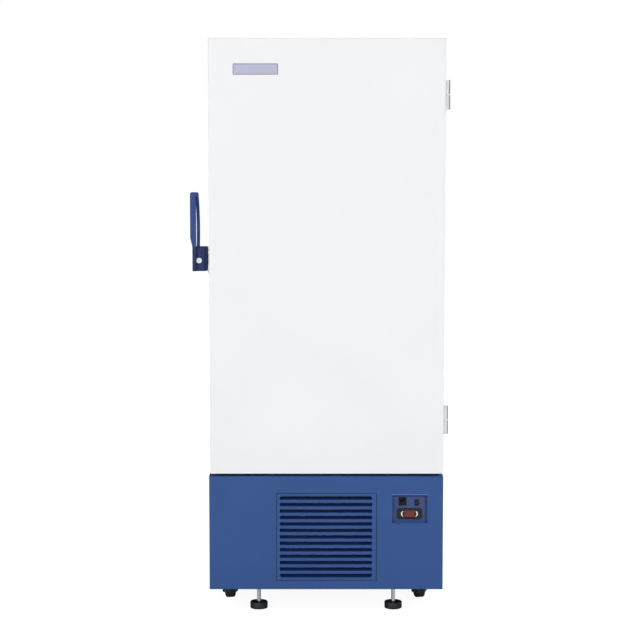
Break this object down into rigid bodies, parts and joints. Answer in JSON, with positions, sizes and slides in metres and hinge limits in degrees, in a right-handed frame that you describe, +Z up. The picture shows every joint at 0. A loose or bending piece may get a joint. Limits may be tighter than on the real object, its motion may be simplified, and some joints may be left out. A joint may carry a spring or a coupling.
{
  "type": "ultra low temperature freezer",
  "caption": "Upright ultra low temperature freezer: white insulated door with side lever handle over a blue machine base with louvred grille, switches, feet and casters.",
  "frame": {"origin": "on the floor, at the middle of the whole object's footprint", "axes": "+Z up; -Y towards the user, out of the door's front; +X to the user's right, where the door's hinges are"},
  "size_m": [0.88, 0.8924, 1.963],
  "materials": {
    "white_paint": "smooth semi-gloss powder coat",
    "white_plastic": "smooth satin",
    "roof_grey": "satin",
    "insulation": "cellular foam",
    "stainless": "brushed",
    "seal_rubber": "matt",
    "hinge_steel": "satin",
    "blue_paint": "fine textured powder coat",
    "blue_handle": "semi-gloss paint over a casting",
    "chrome": "bright",
    "lock_grey": "satin",
    "galvanised": "zinc plated",
    "black_plastic": "moulded",
    "red_plastic": "glossy",
    "black_steel": "satin black",
    "coil_aluminium": "mill",
    "copper": "drawn tube"
  },
  "bodies": {
    "cabinet": {"side_panel_left": "white_paint", "side_panel_right": "white_paint", "top_panel": "white_paint", "rear_panel": "white_paint", "deck_panel": "white_paint", "breaker_frame": "white_plastic", "roof_cover": "roof_grey", "cabinet_foam": "insulation", "inner_liner": "stainless", "shelves": "stainless", "shelf_supports": "stainless", "inner_frame": "stainless", "hinge_leaves_cabinet": "hinge_steel", "latch_keeper": "hinge_steel", "base_front_panel": "blue_paint", "base_side_panels": "blue_paint", "base_rear_panel": "blue_paint", "switch_tray": "blue_paint", "foot_stems": "chrome", "base_frame": "galvanised", "fan_shroud": "galvanised", "caster_plates": "galvanised", "data_socket": "black_plastic", "rocker_bezels": "black_plastic", "mains_inlet": "black_plastic", "compressor_first_stage": "black_steel", "compressor_second_stage": "black_steel", "fan_motor": "black_steel", "electrical_box": "black_steel", "condenser": "coil_aluminium", "evaporator_coil": "copper", "refrigerant_lines": "copper"},
    "outer_door": {"door_skin": "white_paint", "door_foam": "insulation", "door_liner": "white_plastic", "door_gasket": "seal_rubber", "hinge_leaves_door": "hinge_steel", "handle_bracket": "white_paint"},
    "handle": {"handle_lever": "blue_handle", "latch_hook": "blue_handle", "lock_cylinder": "chrome"},
    "lock_plug": {"lock_plug": "lock_grey"},
    "inner_door_upper": {"inner_door_upper": "white_plastic", "inner_gasket_upper": "seal_rubber"},
    "inner_door_lower": {"inner_door_lower": "white_plastic", "inner_gasket_lower": "seal_rubber"},
    "power_rocker": {"power_rocker": "red_plastic"},
    "battery_rocker": {"battery_rocker": "black_plastic"},
    "grille": {"grille": "blue_paint"},
    "fan": {"fan_blades": "black_plastic"},
    "foot_left": {"foot_pad_left": "black_plastic"},
    "foot_right": {"foot_pad_right": "black_plastic"},
    "swivel_front_left": {"caster_fork_front_left": "galvanised"},
    "wheel_front_left": {"caster_wheel_front_left": "black_plastic"},
    "swivel_front_right": {"caster_fork_front_right": "galvanised"},
    "wheel_front_right": {"caster_wheel_front_right": "black_plastic"},
    "swivel_rear_left": {"caster_fork_rear_left": "galvanised"},
    "wheel_rear_left": {"caster_wheel_rear_left": "black_plastic"},
    "swivel_rear_right": {"caster_fork_rear_right": "galvanised"},
    "wheel_rear_right": {"caster_wheel_rear_right": "black_plastic"}
  },
  "joints": [
    {"name": "outer_door_hinge", "type": "hinge", "parent": "cabinet", "child": "outer_door", "pos_m": [0.432, -0.34225, 1.213], "axis": [0, 0, 1], "range_deg": [0, 115]},
    {"name": "handle_pull", "type": "hinge", "parent": "outer_door", "child": "handle", "pos_m": [-0.408, -0.39125, 1.211], "axis": [1, 0, 0], "range_deg": [0, 35]},
    {"name": "lock_turn", "type": "hinge", "parent": "handle", "child": "lock_plug", "pos_m": [-0.411, -0.42625, 1.2107], "axis": [0, 1, 0], "range_deg": [0, 90]},
    {"name": "inner_door_upper_hinge", "type": "hinge", "parent": "cabinet", "child": "inner_door_upper", "pos_m": [0.2755, -0.32275, 1.52], "axis": [0, 0, 1], "range_deg": [0, 92]},
    {"name": "inner_door_lower_hinge", "type": "hinge", "parent": "cabinet", "child": "inner_door_lower", "pos_m": [0.2755, -0.32275, 0.9], "axis": [0, 0, 1], "range_deg": [0, 92]},
    {"name": "power_rocker_tip", "type": "hinge", "parent": "cabinet", "child": "power_rocker", "pos_m": [0.3033, -0.41525, 0.3414], "axis": [0, 0, 1], "range_deg": [-7, 7]},
    {"name": "battery_rocker_tip", "type": "hinge", "parent": "cabinet", "child": "battery_rocker", "pos_m": [0.3285, -0.41525, 0.3799], "axis": [1, 0, 0], "range_deg": [-8, 8]},
    {"name": "grille_pull_off", "type": "slide", "parent": "cabinet", "child": "grille", "axis": [0, -1, 0], "range_m": [0, 0.06]},
    {"name": "fan_spin", "type": "hinge", "parent": "cabinet", "child": "fan", "pos_m": [0.018, -0.26625, 0.25], "axis": [0, 1, 0], "continuous": true},
    {"name": "foot_left_turn", "type": "hinge", "parent": "cabinet", "child": "foot_left", "pos_m": [-0.215, -0.36625, 0.009], "axis": [0, 0, 1], "continuous": true},
    {"name": "foot_right_turn", "type": "hinge", "parent": "cabinet", "child": "foot_right", "pos_m": [0.251, -0.36625, 0.009], "axis": [0, 0, 1], "continuous": true},
    {"name": "swivel_front_left_turn", "type": "hinge", "parent": "cabinet", "child": "swivel_front_left", "pos_m": [-0.318, -0.23625, 0.07], "axis": [0, 0, 1], "continuous": true},
    {"name": "wheel_front_left_roll", "type": "hinge", "parent": "swivel_front_left", "child": "wheel_front_left", "pos_m": [-0.32236, -0.21879, 0.025], "axis": [0.9703, 0.2419, 0], "continuous": true},
    {"name": "swivel_front_right_turn", "type": "hinge", "parent": "cabinet", "child": "swivel_front_right", "pos_m": [0.354, -0.23625, 0.07], "axis": [0, 0, 1], "continuous": true},
    {"name": "wheel_front_right_roll", "type": "hinge", "parent": "swivel_front_right", "child": "wheel_front_right", "pos_m": [0.34964, -0.21879, 0.025], "axis": [0.9703, 0.2419, 0], "continuous": true},
    {"name": "swivel_rear_left_turn", "type": "hinge", "parent": "cabinet", "child": "swivel_rear_left", "pos_m": [-0.318, 0.34875, 0.07], "axis": [0, 0, 1], "continuous": true},
    {"name": "wheel_rear_left_roll", "type": "hinge", "parent": "swivel_rear_left", "child": "wheel_rear_left", "pos_m": [-0.31184, 0.36566, 0.025], "axis": [0.9397, -0.342, 0], "continuous": true},
    {"name": "swivel_rear_right_turn", "type": "hinge", "parent": "cabinet", "child": "swivel_rear_right", "pos_m": [0.354, 0.34875, 0.07], "axis": [0, 0, 1], "continuous": true},
    {"name": "wheel_rear_right_roll", "type": "hinge", "parent": "swivel_rear_right", "child": "wheel_rear_right", "pos_m": [0.34368, 0.3635, 0.025], "axis": [0.8192, 0.5736, 0], "continuous": true}
  ],
  "couplings": [
    {"joint": "inner_door_upper_hinge", "follows": "outer_door_hinge", "ratio": 0.8},
    {"joint": "inner_door_lower_hinge", "follows": "outer_door_hinge", "ratio": 0.8}
  ]
}
